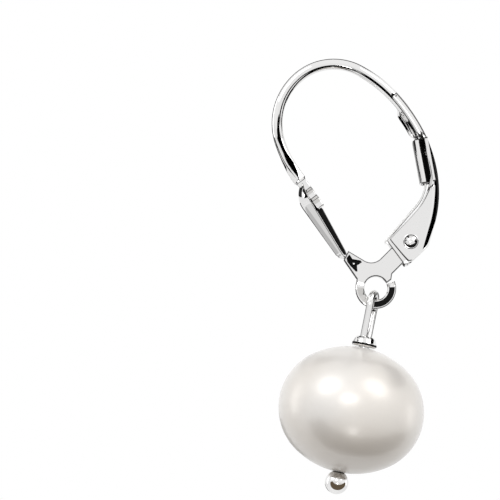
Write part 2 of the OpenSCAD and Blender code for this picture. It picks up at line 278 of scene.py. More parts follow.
# painted grey shade on some facets and bands
paintedGreyShade = polishedMetal("paintedGreyShade", greyShadeLook)
paintedEdgeShade = polishedMetal("paintedEdgeShade", edgeShadeLook)  # dark lines painted on cut edges and seams, standing in for shade and dark reflections there
paintedDeepShade = polishedMetal("paintedDeepShade", deepShadeLook)  # painted near-black shade and dark reflections, inside the hollows and on some marks
pearlFinish = nacre("creamNacre", pearlLook)
print("finishes mixed")


# ear wire with its pressed end

earWire = {
    "thick": 0.75,
    "frontBends": [(3.72, 52), (4.22, 67), (8.85, 19)],
    "backBends": [(3.72, 17), (9.22, 26.6)],
    # pressed end: distance, half thickness, half width, squareness
    "pressed": [(0, 0.375, 0.375, 4), (0.06, 0.37, 0.40, 6), (0.2, 0.35, 0.56, 9), (0.9, 0.33, 0.60, 10),
                (1.08, 0.33, 0.80, 10), (1.62, 0.31, 0.84, 10), (1.82, 0.30, 1.04, 10), (2.42, 0.27, 1.08, 10),
                (2.5, 0.22, 1.04, 8)],
    "flattens": 2.6, "twist": -27, "flat": 4.5,  # the wire is squeezed and turned before its pressed end
    "tip": [(0.0, 0.78), (0.03, 0.93), (0.09, 1.0)],  # softly rounded tip: distance from the end, share of radius
    "seam": 0.019, "greyShade": [(0.9, 1.3), (1.62, 2.1)],  # half width of the dark lines painted as shade between the steps, and where the steps are painted grey as shade
    "sides": 80,
}


def ovalRing(p, turn, halfThick, halfWide, square, sides, twist=0.0):
    ring, out = [], leftOf(turn)
    tc, ts = math.cos(math.radians(twist)), math.sin(math.radians(twist))
    for k in range(sides):
        t = 2 * math.pi * k / sides - math.radians(twist)
        c, s = math.cos(t), math.sin(t)
        across = math.copysign(abs(c) ** (2 / square), c) * halfThick
        along = math.copysign(abs(s) ** (2 / square), s) * halfWide
        ring.append(stand(*(p + out * (across * tc - along * ts)), across * ts + along * tc))
    return ring


def makeEarWire(settings):
    r, top, sides = settings["thick"] / 2, (0, settings["thick"] / 2), settings["sides"]
    back = bendPath(top, 0, settings["backBends"], -1)
    front = bendPath(top, 180, settings["frontBends"], 1)
    tip, tipTurn = back[-1]
    rings = [ovalRing(tip - heading(tipTurn) * d, tipTurn + 180, r * share, r * share, 2, sides)
             for d, share in settings["tip"]]
    rings += [ovalRing(p, t + 180, r, r, 2, sides) for p, t in reversed(back[1:-2])]
    run = lengthsOf([p for p, t in front])
    for (p, t), s in zip(front, run):
        squeeze = ease(1 - (run[-1] - s) / settings["flattens"])
        rings.append(ovalRing(p, t, r, r, mix(2, settings["flat"], squeeze), sides, settings["twist"] * squeeze))
    end, turn = front[-1]
    rows, first = settings["pressed"], len(rings)
    long = rows[-1][0]
    stops = {round(row[0] + d, 3) for row in rows for d in (-0.02, 0.02)} | {i * 0.1 for i in range(1, 25)}
    stops = sorted(s for s in stops if 0 < s < long) + [long]
    for s in stops:
        halfThick, halfWide, square = between(rows, s)
        twist = settings["twist"] * (1 - ease(s / 0.16))
        rings.append(ovalRing(end + heading(turn) * s, turn, halfThick, halfWide, square, sides, twist))

    def onStepShade(i, k):  # dark lines painted as shade between the steps
        s = (stops[i - first] + stops[i - first + 1]) / 2 if first <= i < len(rings) - 1 else 0
        return any(abs(s - row[0]) < settings["seam"] for row in rows[2:-1])

    def onGreyShade(i, k):  # the steps painted a darker grey, as shade
        s = stops[i - first] if first <= i < len(rings) - 1 else 0
        return any(low < s < high for low, high in settings["greyShade"])

    return sweep("earWire", rings, silver, 24, marks=[(onStepShade, paintedEdgeShade), (onGreyShade, paintedGreyShade)])


fit(makeEarWire(earWire), "hook", "ear_hook")
print("ear wire done")


# hollow front shell, open towards the lever

frontShell = {
    "at": (0.34, -8.68), "turn": -49, "roll": 13, "radius": 1.73, "long": 4.6, "taper": 6, "corner": 0.5,
    "wall": 0.28, "mouth": 0.735, "lip": 0.07, "along": 96, "round": 72,
}


def shellRadius(settings, t, inset):  # radius of the drop shape at a distance along its axis
    r, long, taper = settings["radius"] - inset, settings["long"] - inset, math.radians(settings["taper"])
    corner = settings["corner"] - inset * 0.7
    endR = r / math.cos(taper) - long * math.tan(taper)
    if t < r * math.sin(taper):
        return math.sqrt(max(0.0, r * r - t * t))
    if t < long - corner:
        return r / math.cos(taper) - t * math.tan(taper)
    return endR - corner + math.sqrt(max(0.0, corner ** 2 - (t - long + corner) ** 2))


def shellSheet(settings, inset, level):  # one wall of the shell, from rim to rim
    r = settings["radius"] - inset
    first, last = -math.sqrt(r * r - level ** 2), settings["long"] - inset
    tries = (last - i * 0.002 for i in range(400))  # back from the end to where the wall reaches the mouth
    last = next((t for t in tries if shellRadius(settings, t, inset) >= level), last)
    base, turn = Vector(settings["at"]), settings["turn"]
    roll = math.radians(settings["roll"])
    rows = []
    for i in range(settings["along"] + 1):
        t = mix(first, last, (1 - math.cos(math.pi * i / settings["along"])) / 2)
        radius = max(level, shellRadius(settings, t, inset))
        reach = math.acos(min(1.0, level / radius))
        row = []
        for k in range(settings["round"] + 1):
            a = mix(-reach, reach, k / settings["round"])
            down, side = -radius * math.cos(a), radius * math.sin(a)
            y = down * math.cos(roll) - side * math.sin(roll)
            z = down * math.sin(roll) + side * math.cos(roll)
            row.append(stand(*(base + heading(turn) * t + leftOf(turn) * y), z))
        rows.append(row)
    return rows


def rimOf(rows):
    return [r[0] for r in rows] + [r[-1] for r in reversed(rows[1:-1])]


def makeFrontShell(settings):
    wall, lip, mouth = settings["wall"], settings["lip"], settings["mouth"]
    outer, inner = shellSheet(settings, 0, mouth + lip * 0.4), shellSheet(settings, wall, mouth + lip * 0.4)
    crest = [rimOf(shellSheet(settings, x, mouth)) for x in (lip * 0.6, wall - lip * 0.6)]
    n, points, faces = settings["round"] + 1, [], []
    for rows in (outer, inner):
        start = len(points)
        points += [p for r in rows for p in r]
        for i in range(settings["along"]):
            for k in range(settings["round"]):
                a = start + i * n + k
                faces.append((a, a + 1, a + n + 1, a + n))
    # the inside is painted near-black as shade in the hollow
    inside = range(len(faces) // 2, len(faces))
    loops = [rimOf(outer), crest[0], crest[1], rimOf(inner)]
    start, m = len(points), len(loops[0])
    points += [p for loop in loops for p in loop]
    for i in range(3):
        for k in range(m):
            a, b = start + i * m, start + (i + 1) * m
            faces.append((a + k, a + (k + 1) % m, b + (k + 1) % m, b + k))
    rim = list(range(len(inside) * 2, len(faces)))
    lines = rim[:m] + rim[2 * m:]  # both edges of the rim, without its crest, painted as dark lines of shade
    return meshPiece("frontShell", points, faces, silver, 45, [(inside, paintedDeepShade), (lines, paintedEdgeShade)])


fit(makeFrontShell(frontShell), "hook", "ear_hook")
print("front shell done")


# base plate with the tongue and the split eye

basePlate = {
    "thick": 1.3, "hinge": (6.85, -10.72), "barTurn": 56.5, "barWide": 1.3, "eye": (5.13, -14.3),
    "footTop": (2.78, -12.18), "footLow": (2.6, -12.86), "footHeel": (3.72, -13.95), "throatTurn": -19.6,
    "throat": 0.9, "hole": 0.8, "ringOuter": 1.4, "roundCut": 0.98, "sideTurn": 94, "rootTurn": 176,
    "slitAt": (6.05, -13.75), "slitTurn": 48.0, "slitWide": 0.3,
    "pocket": [(2.75, -12.7), (2.9, -12.4), (3.17, -12.68), (3.72, -12.66), (3.86, -12.77), (3.56, -13.06),
               (3.68, -13.46), (3.56, -13.48), (3.12, -13.18), (2.86, -12.94)],
    "pocketDeep": 0.24, "bead": (3.32, -12.97), "beadR": 0.1,
    # ring front: part of the way round, slope of its face from the hole outwards, half thickness
    "slopes": [(0.0, 0.0, 0.65), (0.06, 0.0, 0.64), (0.14, -0.1, 0.61), (0.25, -0.3, 0.52), (0.34, -0.25, 0.46),
               (0.44, 0.0, 0.42), (0.53, 0.1, 0.40), (0.69, 0.2, 0.38), (1.0, 0.2, 0.38)],
    "ringStart": 168.0, "ringEnd": -0.24, "ringLip": 0.03, "groove": 0.05, "grooveFrom": 0.44,
}


def meet(p, a, q, b):  # where two lines cross, each a point and a heading
    d, e = heading(a), heading(b)
    return p + d * ((q - p).x * e.y - (q - p).y * e.x) / (d.x * e.y - d.y * e.x)


def slitAngle(settings, r, off):  # where a circle round the eye meets a line beside the slit
    q = Vector(settings["slitAt"]) - Vector(settings["eye"])
    return settings["slitTurn"] + math.degrees(math.asin((off + q.dot(leftOf(settings["slitTurn"]))) / r))


def makeBasePlate(settings):
    hinge, eye, bar = Vector(settings["hinge"]), Vector(settings["eye"]), settings["barTurn"]
    half = settings["barWide"] / 2
    barTop, barLow = hinge + leftOf(bar) * half, hinge - leftOf(bar) * half
    footTop, footLow, heel = (Vector(settings[k]) for k in ("footTop", "footLow", "footHeel"))
    corner = meet(footTop, settings["throatTurn"], barTop, bar)
    side = eye + Vector((settings["roundCut"], 0))
    shoulder = meet(barLow, bar, side, settings["sideTurn"])
    outline = [footTop]
    outline += rounded([footTop, corner, barTop], [0, settings["throat"], 0], closed=False)[1:-1]
    start = math.degrees(math.atan2((barTop - hinge).y, (barTop - hinge).x))
    outline += [hinge + heading(start - i * 6) * half for i in range(31)]  # round end of the tongue
    outline += rounded([barLow, shoulder, side + Vector((0, 0.35))], [0, 0.12, 0], closed=False)[1:-1]
    slit = Vector(settings["slitAt"]) + leftOf(settings["slitTurn"]) * settings["slitWide"] / 2
    first = slitAngle(settings, settings["hole"], settings["slitWide"] / 2)
    outline.append(meet(slit, settings["slitTurn"], side, settings["sideTurn"]))
    outline += [eye + heading(mix(first, settings["rootTurn"], i / 36)) * settings["hole"] for i in range(37)]
    outline += [eye + heading(settings["rootTurn"]) * (settings["ringOuter"] - 0.01), heel, footLow]
    plate = slab("basePlate", [Vector(p) for p in outline], settings["thick"] / 2, silver)
    pocket = rounded(settings["pocket"], [0.04] * 10, steps=3)
    middle = sum(pocket, Vector((0, 0))) / len(pocket)
    rows = [(1.04, -0.1), (1.0, 0), (0.93, 0.1), (0.7, 0.8), (0.3, 1)]  # share of the outline, share of the depth
    for sign in (-1, 1):
        rings = [[stand(*(middle + (q - middle) * k), sign * (settings["thick"] / 2 - settings["pocketDeep"] * d))
                  for q in pocket] for k, d in rows]
        # the pocket's walls take the near-black paint, as shade in the hollow
        tool = sweep("pocketTool", rings, paintedDeepShade)
        cut = plate.modifiers.new("pocket", "BOOLEAN")
        cut.operation, cut.object, cut.solver, cut.material_mode = "DIFFERENCE", tool, "EXACT", "TRANSFER"
        applyModifiers(plate)
        bpy.data.objects.remove(tool)
    settle(plate, 22)
    return plate


def makeSolderBeads(settings):  # bright drops left in the pockets
    r, beads = settings["beadR"], []
    for name, sign in (("nearBead", 1), ("farBead", -1)):
        level = sign * (settings["thick"] / 2 - settings["pocketDeep"] * 0.75)
        profile = [(r * math.sin(math.radians(a)), r * math.cos(math.radians(a))) for a in range(0, 181, 10)]
        x, y = settings["bead"]
        beads.append(lathe(name, profile, lambda a, b, h: stand(x + a, y + b, level + h * sign), silver, 24))
    return beads


def makeEyeRing(settings):
    eye, inner, outer = Vector(settings["eye"]), settings["hole"], settings["ringOuter"]
    count, wide = 96, outer - inner

    def ringAt(part, off, lift):
        slope, half = between(settings["slopes"], part)
        groove = settings["groove"] * ease((part - settings["grooveFrom"]) / 0.08)
        front = [(0, half - 0.14), (0.02, half - 0.05), (0.07, half), (0.115, half), (0.15, half - groove),
                 (0.47, half - groove), (0.5, half - 0.015), (0.545, half - 0.02), (0.585, half - 0.08),
                 (wide, half - 0.16)]
        front = [(d, z - abs(slope) * (d if slope > 0 else wide - d)) for d, z in front]
        loop = front + [(d, -z) for d, z in reversed(front)]
        last = 360 + slitAngle(settings, inner + wide / 2, off)
        around = heading(mix(settings["ringStart"], last, part))
        return [stand(*(eye + around * (inner + d)), z * lift) for d, z in loop]

    def band(k):  # counts a face's sides from the hole outwards, alike at the front and the back
        return min(k, 18 - k)

    # painted shade: black in the groove, dark lines on the edges, and a grey band of shade on the face near the
    # hole
    bands = [
        (lambda i, k: band(k) in (3, 4, 5) and 0.5 * count < i < count - 1, paintedDeepShade),  # the groove, painted black as shade
        (lambda i, k: band(k) in (0, 7, 8) or (band(k) in (2, 3) and 0.36 < i / count < 0.5), paintedEdgeShade),
        (lambda i, k: band(k) in (2, 3, 4) and 0.1 * count < i <= 0.5 * count, paintedGreyShade),
    ]
    rings = [ringAt(i / count, settings["ringEnd"], 1) for i in range(count + 1)]
    rings.append(ringAt(1.0, mix(settings["ringEnd"], settings["ringLip"], 0.08), 0.97))
    rings.append(ringAt(1.0, settings["ringLip"], 0.45))
    return sweep("eyeRing", rings, silver, 24, marks=bands)


fit(makeBasePlate(basePlate), "hook", "ear_hook")
fit(makeEyeRing(basePlate), "hook", "ear_hook")
for bead in makeSolderBeads(basePlate):
    fit(bead, "hook", "ear_hook")
print("base plate and eye done")


# folded lever: channel, lips, cheeks

lever = {
    "start": (8.12, -10.66), "turn": 85.7, "straight": 1.4, "bends": [(8.45, 27.6), (10.07, 19.1), (12.48, 11.6)],
    "half": 1.0, "sheet": 0.22, "nearLip": 0.52, "farLip": 0.88, "farStart": 0.55, "farFade": 0.9, "tip": 0.3,
    "fold": [(0.12, 46), (1.5, 68), (0.15, 90)],  # radius and how far its arc turns, from the flat side outwards
    "tabAt": (6.72, -6.71), "tabTurn": 111.8, "tabLong": 3.1, "tabDeep": 0.84,
    "crease": 0.1, "creaseWide": 0.2, "creaseAt": (7.32, -6.95), "creaseTurn": 52.0,
    "cheekEdge": [(7.36, -6.6), (7.31, -6.87), (7.24, -7.31), (7.1, -7.85), (6.92, -8.35), (6.41, -9.23),
                  (5.27, -10.98), (6.76, -12.33), (7.0, -12.22)],
    "cornerAt": 1.9, "heelAt": 0.5, "cheekTop": 0.45,  # where the spine passes the cheek's corner, heel and top
    "lipBlend": 0.8,  # length over which the tabs' depth turns into the lips'
    "edge": 0.03, "line": (0.13, 0.055, 0.15),  # dark line painted by the edge as shade: distance in, width at the lips and below
    "lineFade": 2.6,  # length below the tabs over which that painted line grows
    "outline": (44, 50),  # the bands on the fold painted dark as shade to draw the near lip's outline
}


def foldOf(settings):  # (depth, half width) from the spine's back to the flat side
    rows, x, z, last = [(0.0, settings["half"])], 0.0, settings["half"], 0
    for r, turn in settings["fold"]:
        count = max(4, (turn - last) // 4)
        for i in range(1, count + 1):
            t = mix(last, turn, i / count)
            rows.append((x + r * (math.sin(math.radians(t)) - math.sin(math.radians(last))),
                         z - r * (math.cos(math.radians(last)) - math.cos(math.radians(t)))))
        x, z = rows[-1]
        last = turn
    return [(x - d, h) for d, h in reversed(rows)]


def makeLeverChannel(settings):
    start, turn = Vector(settings["start"]), settings["turn"]
    rows = [(start + heading(turn) * i * 0.1, turn) for i in range(int(settings["straight"] * 10))]
    rows += bendPath(start + heading(turn) * settings["straight"], turn, settings["bends"], 1, 0.09)
    spine, turns = [r[0] for r in rows], [r[1] for r in rows]
    along = lengthsOf(spine)
    total = along[-1]
    tabAt, tabTurn = Vector(settings["tabAt"]), settings["tabTurn"]
    tabIn = leftOf(tabTurn) * -1

    def tabDepth(p, t):  # depth from the spine's face to the tabs' bend line
        return (meet(p, t + 90, tabAt + tabIn * settings["tabDeep"], tabTurn) - p).length

    def tabLevel(p):
        return (p - tabAt).dot(heading(tabTurn))

    cheek = [Vector(p) for p in settings["cheekEdge"]]
    cheekLong = lengthsOf(cheek)
    corner, heel = cheekLong[6], cheekLong[7]
    foot = next(s for s, p in zip(along, spine) if tabLevel(p) > settings["cheekTop"])
    fold, stations = foldOf(settings), []
    foldDeep, spineHalf = fold[-1][0], fold[0][1]
    marks = {0.0: cheekLong[-1], settings["heelAt"]: heel, settings["cornerAt"]: corner, foot: 0.0}
    keys = sorted(marks)
    for s, p, t in zip(along, spine, turns):
        inward = leftOf(t)
        if s < foot:
            low = max(k for k in keys if k <= s)
            high = min(k for k in keys if k > s)
            e = pointAt(cheek, cheekLong, mix(marks[low], marks[high], (s - low) / (high - low)))
            near = far = e
        else:
            fromTip = total - s
            lipNear, tip = settings["nearLip"], settings["tip"]
            if fromTip < tip:
                lipNear -= tip - math.sqrt(max(0.0, tip ** 2 - (tip - fromTip) ** 2))
            grown = ease((fromTip - settings["farStart"]) / settings["farFade"])
            lipFar = mix(foldDeep + 0.02, settings["farLip"], grown)
            above = ease((tabLevel(p) - settings["tabLong"] + 0.1) / settings["lipBlend"])
            tabDeep = tabDepth(p, t)
            near = p + inward * mix(tabDeep, lipNear, above)
            far = p + inward * mix(tabDeep, lipFar, above)
        stations.append((p, t, near, far))
    half, (lineIn, lineUp, lineLow) = settings["half"], settings["line"]
    creaseAt, creaseTurn = Vector(settings["creaseAt"]), settings["creaseTurn"]

    def side(p, t, e, sign):
        run, inward, line = e - p, leftOf(t), []
        deep = run.dot(inward)
        level = tabLevel(e)
        wide = mix(lineUp, lineLow, ease(level / settings["lineFade"] + 1)) if level < 0.3 else lineUp
        line1 = max(foldDeep + (deep - foldDeep) * 0.5, deep - lineIn - wide)
        line2 = max(foldDeep + (deep - foldDeep) * 0.65, deep - lineIn)
        flat = [mix(foldDeep, line1, k / 26) for k in range(1, 27)] + [line2, deep]
        for d, z in fold + [(d, half) for d in flat]:
            q = p + run * (min(d, deep) / deep)
            if d > foldDeep * 0.6:  # the cheek steps in below the tabs
                past = (creaseAt - q).dot(leftOf(creaseTurn))
                step = ease(past / settings["creaseWide"] + 0.5) - ease(past / 4.0)
                z -= settings["crease"] * step * ease((d / foldDeep - 0.6) / 0.6)
            line.append(stand(*q, z * sign))
        run = (e - p).normalized()
        line.append(stand(*(e + run * 0.012), (z - 0.02) * sign))
        line.append(stand(*(e + run * 0.055), (z - 0.13) * sign))
        return line

    rings = []
    for p, t, near, far in stations:
        back = [stand(*p, mix(spineHalf, -spineHalf, k / 6)) for k in range(1, 6)]
        rings.append(list(reversed(side(p, t, near, 1))) + back + side(p, t, far, -1))
    last = len(rings[0]) - 2
    lips = next(i for i, row in enumerate(stations) if tabLevel(row[0]) > settings["tabLong"] - 0.3)

    def seam(i, k):  # dark lines painted as shade: along the edges, the near lip's outline and the crease below the tabs
        low, high = settings["outline"]
        if i > lips and k < last / 2 and (low <= k <= high or i > len(rings) - 3):
            return True
        q = (rings[i][k] + rings[i + 1][k + 1]) * 500  # the middle of the face, in millimetres
        past = (creaseAt - Vector((q.x, q.z))).dot(leftOf(creaseTurn))
        onCrease = abs(past) < 0.05 and abs(q.y) > half - settings["crease"] * 0.8 and min(k, last - k) < 30
        return min(k, last - k) in (0, 1, 3) or onCrease

    obj = sweep("leverChannel", rings, silver, 60, caps=False, ringClosed=False, marks=[(seam, paintedEdgeShade)])
    thicken(obj, settings["sheet"], settings["edge"])
    return obj


def thicken(obj, sheet, edge):  # gives a folded face its sheet thickness and broken edges
    wall = obj.modifiers.new("sheet", "SOLIDIFY")
    wall.thickness, wall.offset, wall.use_even_offset = sheet * 0.001, -1, True
    wall.material_offset_rim = -1
    soft = obj.modifiers.new("edge", "BEVEL")
    soft.width, soft.segments, soft.limit_method = edge * 0.001, 2, "ANGLE"
    soft.angle_limit = math.radians(60)
    applyModifiers(obj)
    obj.data.shade_smooth()
    obj.data.set_sharp_from_angle(angle=math.radians(50))


def makeLeverTabs(settings):
    tabAt, turn = Vector(settings["tabAt"]), settings["tabTurn"]
    inward = leftOf(turn) * -1
    corners = [(1.05, 1.0), (0.80, 1.0), (0.79, 0.50), (0.70, 0.50), (0.40, 0.88), (0.12, 0.92), (0.0, 0.62),
               (0.0, 0.07)]  # distance in from the bend line, level
    outline = rounded(corners, [0, 0.06, 0.04, 0.04, 0.12, 0.14, 0.2, 0], closed=False, step=10)
    count, r = 34, 0.16  # steps along a tab, and the rounding of its corners
    rings = []
    for i in range(count + 1):
        u = settings["tabLong"] * i / count
        fromEnd = min(u, settings["tabLong"] - u)
        cut = r - math.sqrt(max(0.0, r ** 2 - (r - fromEnd) ** 2)) if fromEnd < r else 0.0
        at = tabAt + heading(turn) * u
        rings.append([stand(*(at + inward * max(w, cut)), z) for w, z in outline])
    depth = [(a[0] + b[0]) / 2 for a, b in zip(outline, outline[1:])]
    # painted shade: dark lines at the tab ends and bend, and a black band on each tab as a dark reflection
    marks = [(lambda i, k: i in (0, count - 1) or depth[k] < 0.05, paintedEdgeShade),
             (lambda i, k: 0.43 < depth[k] < 0.795, paintedDeepShade)]
    made = []
    for name, sign in (("nearTab", 1), ("farTab", -1)):
        flip = [[Vector((p.x, p.y * sign, p.z)) for p in ring] for ring in rings]
        tab = sweep(name, flip, silver, 70, caps=False, ringClosed=False, marks=marks)
        thicken(tab, settings["sheet"] * 0.8, 0.02)
        made.append(tab)
    return made


fit(makeLeverChannel(lever), "lever", "lever")
for tab in makeLeverTabs(lever):
    fit(tab, "lever", "lever")
print("lever done")


# leaf spring

leafSpring = {
    "at": (5.2, -10.95), "turn": 60.5, "straight": 3.12, "bend": [(2.65, 51.3)], "tail": 1.9,
    "curl": [(0.24, 45)], "thick": 0.14, "wide": 0.9,
}


def makeLeafSpring(settings):
    at, turn = Vector(settings["at"]), settings["turn"]
    curl = bendPath(at, turn + 180, settings["curl"], 1, 0.03)
    path = [(p, t + 180) for p, t in reversed(curl)]
    path += [(at + heading(turn) * settings["straight"] * i / 24, turn) for i in range(1, 24)]
    path += bendPath(at + heading(turn) * settings["straight"], turn, settings["bend"], 1, 0.08)
    end, last = path[-1]
    path += [(end + heading(last) * settings["tail"] * i / 12, last) for i in range(1, 13)]
    a, b = settings["thick"] / 2, settings["wide"] / 2
    section = rounded([(a, b), (-a, b), (-a, -b), (a, -b)], [0.035] * 4, step=22)
    rings = [[stand(*(p + leftOf(t) * x), z) for x, z in section] for p, t in path]
    return sweep("leafSpring", rings, springSilver, 30)


fit(makeLeafSpring(leafSpring), "lever", "leaf_spring")
print("leaf spring done")


# rivet

hingePin = {"at": (6.85, -10.72), "shank": 0.35, "rim": 0.53, "rimThick": 0.07, "dome": 0.42, "domeHigh": 0.27,
            "seat": 1.02}


def makeHingePin(settings):
    x, y = settings["at"]
    r, high, rim, t, seat = (settings[k] for k in ("dome", "domeHigh", "rim", "rimThick", "seat"))
    ball = (r * r + high * high) / (2 * high)
    reach = math.degrees(math.asin(r / ball))
    arc = [math.radians(reach * i / 16) for i in range(17)]
    head = [(ball * math.sin(a), seat + t + high - ball * (1 - math.cos(a))) for a in arc]
    head += [(r + 0.035, seat + t + 0.004), (rim - 0.045, seat + t), (rim - 0.008, seat + t * 0.8),
             (rim, seat + t * 0.45), (rim - 0.008, seat + 0.004), (settings["shank"], seat)]
    profile = head + [(rr, -h) for rr, h in reversed(head)]
    n = len(profile) - 2

    def dark(i, k):  # painted shade: dark lines under the domes, and a dark reflection painted as a crescent low on each dome
        row, turned = min(i, n - i), (k + 36) % 72
        crescent = 4 < turned < 44 and 14.5 - 7 * math.sin(math.pi * (turned - 4) / 40) < row < 15
        return row in (15, 16) or crescent or (row == 18 and 0 < turned < 40)

    return lathe("rivet", profile, lambda a, b, h: stand(x + a, y + b, h), silver, 72, 35, dark, paintedDeepShade)


fit(makeHingePin(hingePin), "hook", "hinge_pin")
print("rivet done")


# drop: link, head pin, collar and pearl

drop = {
    "across": 5.13, "pivot": -15.4, "wire": 0.54, "gap": 0.05,
    "linkR": 0.5, "linkWire": 0.47, "turn": 14, "lean": 12.6, "tilt": 3.1, "linkLong": 1.75, "sunk": 0.3,
    "paintedStreaks": (0, 1, 21, 22, 23, 24, 37, 38, 39),  # sides of the link's wire painted dark as reflections
    "collarD": 1.72, "collarHigh": 0.8, "pearlD": 10.0, "pearlHigh": 8.7, "drill": 0.8, "ballD": 1.62,
}
collarTop = drop["pivot"] - drop["linkR"] - drop["linkLong"]
pearlTop = collarTop - drop["collarHigh"]
pearlMid = pearlTop - drop["pearlHigh"] / 2


def hang(x, y, h):  # a point of the drop, with h as the height in the row frame
    return Vector((drop["across"] + x, y, h)) * 0.001


def makeLink(settings):
    mid, r, lean = settings["linkR"] + settings["wire"] / 2, settings["linkWire"] / 2, settings["lean"]
    leg = (settings["linkLong"] + settings["linkR"] + settings["sunk"] - mid * math.sin(math.radians(lean)))
    leg /= math.cos(math.radians(lean))
    half = []  # from the top of the arch down one leg: along the link's plane, aside, up
    for i in range(31):
        a = math.radians(mix(90, -lean, i / 30))
        half.append(Vector((mid * math.cos(a), 0, mid * math.sin(a))))
    down = Vector((-math.sin(math.radians(lean)), 0, -math.cos(math.radians(lean))))
    tilt = math.tan(math.radians(settings["tilt"]))
    for i in range(1, 25):
        s = leg * i / 24
        half.append(half[30] + down * s + Vector((0, 1, 0)) * tilt * (s - 0.25 * (1 - math.exp(-s / 0.25))))
    line = [Vector((-p.x, -p.y, p.z)) for p in reversed(half[1:])] + half
    turn, sides = math.radians(settings["turn"]), 40
    rings = []
    for i, p in enumerate(line):
        ahead = (line[min(i + 1, len(line) - 1)] - line[max(i - 1, 0)]).normalized()
        aside = Vector((0, 1, 0)) - ahead * ahead.y
        aside.normalize()
        up = ahead.cross(aside)
        ring = []
        for k in range(sides):
            t = 2 * math.pi * k / sides
            q = p + (aside * math.cos(t) + up * math.sin(t)) * r
            ring.append(hang(q.x * math.sin(turn) + q.y * math.cos(turn),
                             q.x * math.cos(turn) - q.y * math.sin(turn), settings["pivot"] + q.z))
        rings.append(ring)

    def paintedStreak(i, k):  # painted dark reflections, mirrored from one leg to the other
        return (k if i > len(line) / 2 else sides - 1 - k) in settings["paintedStreaks"]

    return sweep("link", rings, silver, 40, marks=[(paintedStreak, paintedEdgeShade)])


def makeHeadPin(settings):
    r, ball, drill = settings["wire"] / 2, settings["ballD"] / 2, settings["drill"] / 2
    mid = pearlMid - settings["pearlHigh"] / 2 - math.sqrt(ball ** 2 - drill ** 2)
    top = collarTop - settings["sunk"] / 2
    arc = [math.radians(a) for a in range(0, 160, 3)]
    profile = [(ball * math.sin(a), mid - ball * math.cos(a)) for a in arc]
    profile += [(r, mid + ball * 0.95), (r, top), (0, top)]
    return lathe("headPin", profile, hang, silver, 96, 40)


def makeCollar(settings):
    r, high = settings["collarD"] / 2, settings["collarHigh"] - settings["gap"]
    low = pearlTop + settings["gap"]
    section = rounded([(0.36, 0), (r - 0.04, 0), (r, 0.2), (r - 0.12, high * 0.72), (0.56, high),
                       (0.42, high - 0.1), (0.36, 0.32)], [0.05, 0.14, 0.3, 0.28, 0.12, 0.08, 0], step=8)
    profile = [(p.x, low + p.y) for p in section]
    # a band painted black just above the pearl, as shade between the collar and the pearl
    seam = [i for i, p in enumerate(profile[1:]) if 0.16 < p[1] - pearlTop < 0.3]
    return lathe("collar", profile + profile[:1], hang, silver, 96, 40, lambda i, k: i in seam, paintedDeepShade)


def makePearl(settings):  # two arcs from the drill hole to the middle, mirrored
    halfHigh, halfWide, drill = settings["pearlHigh"] / 2, settings["pearlD"] / 2, settings["drill"] / 2
    sideR = 0.82 * halfHigh + 0.1 * halfWide
    sideAt, over = halfWide - sideR, halfHigh - sideR
    poleAt = (sideAt ** 2 - over ** 2) / (2 * over)
    poleR = halfHigh + poleAt
    swap = math.degrees(math.atan2(sideAt, poleAt))
    first = math.degrees(math.asin((drill + 0.06) / poleR))
    polar = [math.radians(mix(first, swap, i / 14)) for i in range(14)]
    around = [math.radians(mix(swap, 90, i / 60)) for i in range(61)]
    half = [(poleR * math.sin(a), poleR * math.cos(a) - poleAt) for a in polar]
    half += [(sideAt + sideR * math.sin(a), sideR * math.cos(a)) for a in around]
    top = half[0][1]
    rim = [(drill, top - 0.4), (drill, top - 0.07), (drill + 0.02, top - 0.025)]
    profile = rim + half + [(r, -h) for r, h in reversed(rim + half[:-1])]
    profile = [(r, pearlMid + h) for r, h in profile]
    return lathe("pearlBead", profile + profile[:1], hang, pearlFinish, 160, 40)


for piece, node, slot in ((makeLink(drop), "head_pin", "silver"), (makeHeadPin(drop), "head_pin", "silver"),
                          (makeCollar(drop), "collar_bead", "silver"), (makePearl(drop), "pearl", "pearl")):
    fit(piece, "drop", node)
print("drop done")


# camera at the photograph's angle

shot = {"azimuth": 1.0, "elevation": -5.0, "roll": 11.5, "away": 450.0, "scale": 14.55, "originAt": (343.5, 70.6)}
a, e, roll = (math.radians(shot[k]) for k in ("azimuth", "elevation", "roll"))
level = Vector((math.cos(a), math.sin(a), 0))
rise = Vector((-math.sin(a) * math.sin(e), math.cos(a) * math.sin(e), math.cos(e)))
back = level.cross(rise)
camRight = level * math.cos(roll) + rise * math.sin(roll)
camUp = rise * math.cos(roll) - level * math.sin(roll)
aim = camRight * (250 - shot["originAt"][0]) / shot["scale"] + camUp * (shot["originAt"][1] - 250) / shot["scale"]
camera = bpy.data.objects.new("camera", bpy.data.cameras.new("camera"))
bpy.context.scene.collection.objects.link(camera)
camera.data.sensor_width = 36
camera.data.lens = shot["scale"] * 36 * shot["away"] / 500  # scale in pixels for each millimetre
camera.data.clip_start, camera.data.clip_end = 0.01, 20
camera.matrix_world = Matrix.Translation((aim + back * shot["away"]) * 0.001) @ Matrix(
    (camRight, camUp, back)).transposed().to_4x4()
bpy.context.scene.camera = camera


# floor, light tent and cards

